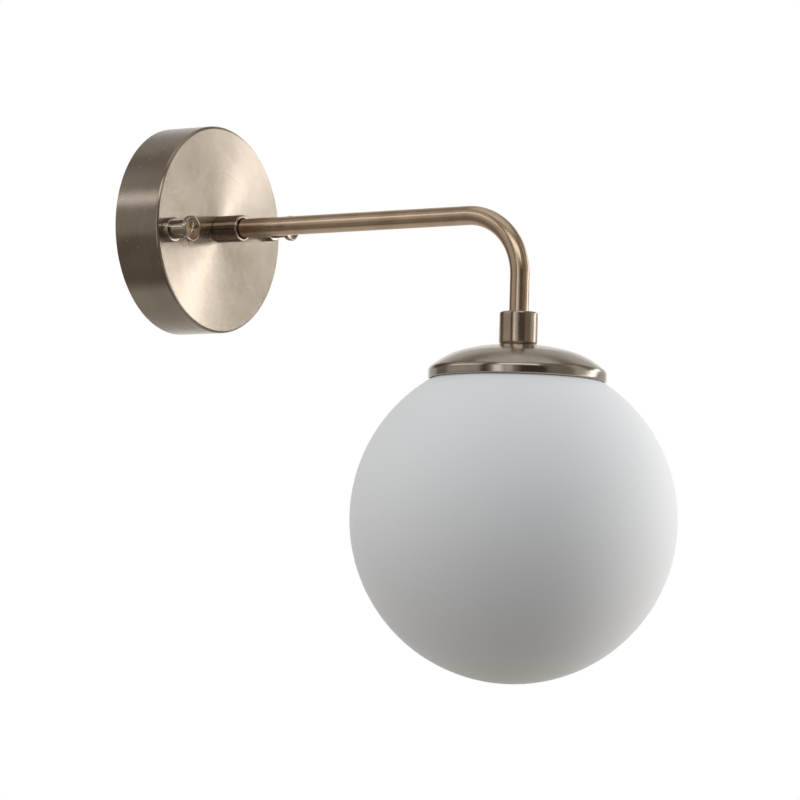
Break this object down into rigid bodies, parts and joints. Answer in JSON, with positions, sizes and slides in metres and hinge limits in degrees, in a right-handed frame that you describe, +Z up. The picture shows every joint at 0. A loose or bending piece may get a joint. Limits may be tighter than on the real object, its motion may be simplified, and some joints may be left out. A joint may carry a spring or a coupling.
{
  "type": "globe wall sconce",
  "caption": "Wall sconce with a round backplate, a bent tube arm and an opal glass globe hung under a spun dome; it opens to its lampholder, wires and wall bracket.",
  "frame": {"origin": "on the wall plane, on the axis of the round backplate", "axes": "+Z up, the arm reaches out from the wall along -Y, +X to the right seen from the room"},
  "size_m": [0.15, 0.2715, 0.2665],
  "materials": {
    "antique_nickel": "satin antique nickel, brushed",
    "zinc_steel": "zinc plated",
    "tinned_brass": "bright",
    "opal_glass": "satin opal",
    "frosted_glass": "frosted",
    "white_ceramic": "glazed",
    "black_plastic": "moulded",
    "white_plastic": "moulded",
    "silicone": "matt",
    "brown_wire": "smooth",
    "blue_wire": "smooth",
    "green_wire": "smooth"
  },
  "bodies": {
    "lamp": {"arm_collar": "antique_nickel", "arm_grub_screw": "zinc_steel", "arm_nipple": "zinc_steel", "arm_nut": "zinc_steel", "arm_tube": "antique_nickel", "arm_washer": "zinc_steel", "backplate": "antique_nickel", "block_screw": "zinc_steel", "earth_screw": "zinc_steel", "earth_tag": "tinned_brass", "earth_wire": "green_wire", "gallery": "antique_nickel", "gallery_washer": "zinc_steel", "holder_cap": "black_plastic", "holder_contacts": "tinned_brass", "holder_insert": "white_ceramic", "holder_sleeve": "black_plastic", "live_wire": "brown_wire", "lower_collar": "antique_nickel", "lower_grub_screw": "zinc_steel", "lower_nipple": "zinc_steel", "neutral_wire": "blue_wire", "stud_nuts": "zinc_steel", "studs": "zinc_steel", "terminal_block": "white_plastic", "terminal_screws": "zinc_steel", "wall_bracket": "zinc_steel"},
    "seal": {"seal": "silicone"},
    "globe": {"globe": "opal_glass", "screw_ring": "white_plastic"},
    "bulb": {"bulb_base": "white_ceramic", "bulb_envelope": "frosted_glass", "bulb_pins": "tinned_brass"},
    "left_nut": {"thumb_nut_left": "antique_nickel"},
    "right_nut": {"thumb_nut_right": "antique_nickel"}
  },
  "joints": [
    {"name": "globe_drop", "type": "slide", "parent": "lamp", "child": "seal", "axis": [0, 0, -1], "range_m": [0, 0.009]},
    {"name": "globe_turn", "type": "hinge", "parent": "seal", "child": "globe", "pos_m": [0, -0.1965, -0.1415], "axis": [0, 0, -1], "range_deg": [0, 1080]},
    {"name": "bulb_pull", "type": "slide", "parent": "lamp", "child": "bulb", "axis": [0, 0, -1], "range_m": [0, 0.012]},
    {"name": "left_nut_turn", "type": "hinge", "parent": "lamp", "child": "left_nut", "pos_m": [-0.04069, -0.025, -0.005], "axis": [0, -1, 0], "continuous": true},
    {"name": "right_nut_turn", "type": "hinge", "parent": "lamp", "child": "right_nut", "pos_m": [0.04069, -0.025, 0.005], "axis": [0, -1, 0], "continuous": true}
  ],
  "couplings": [
    {"joint": "globe_drop", "follows": "globe_turn", "m_per_rad": 0.00047746}
  ]
}
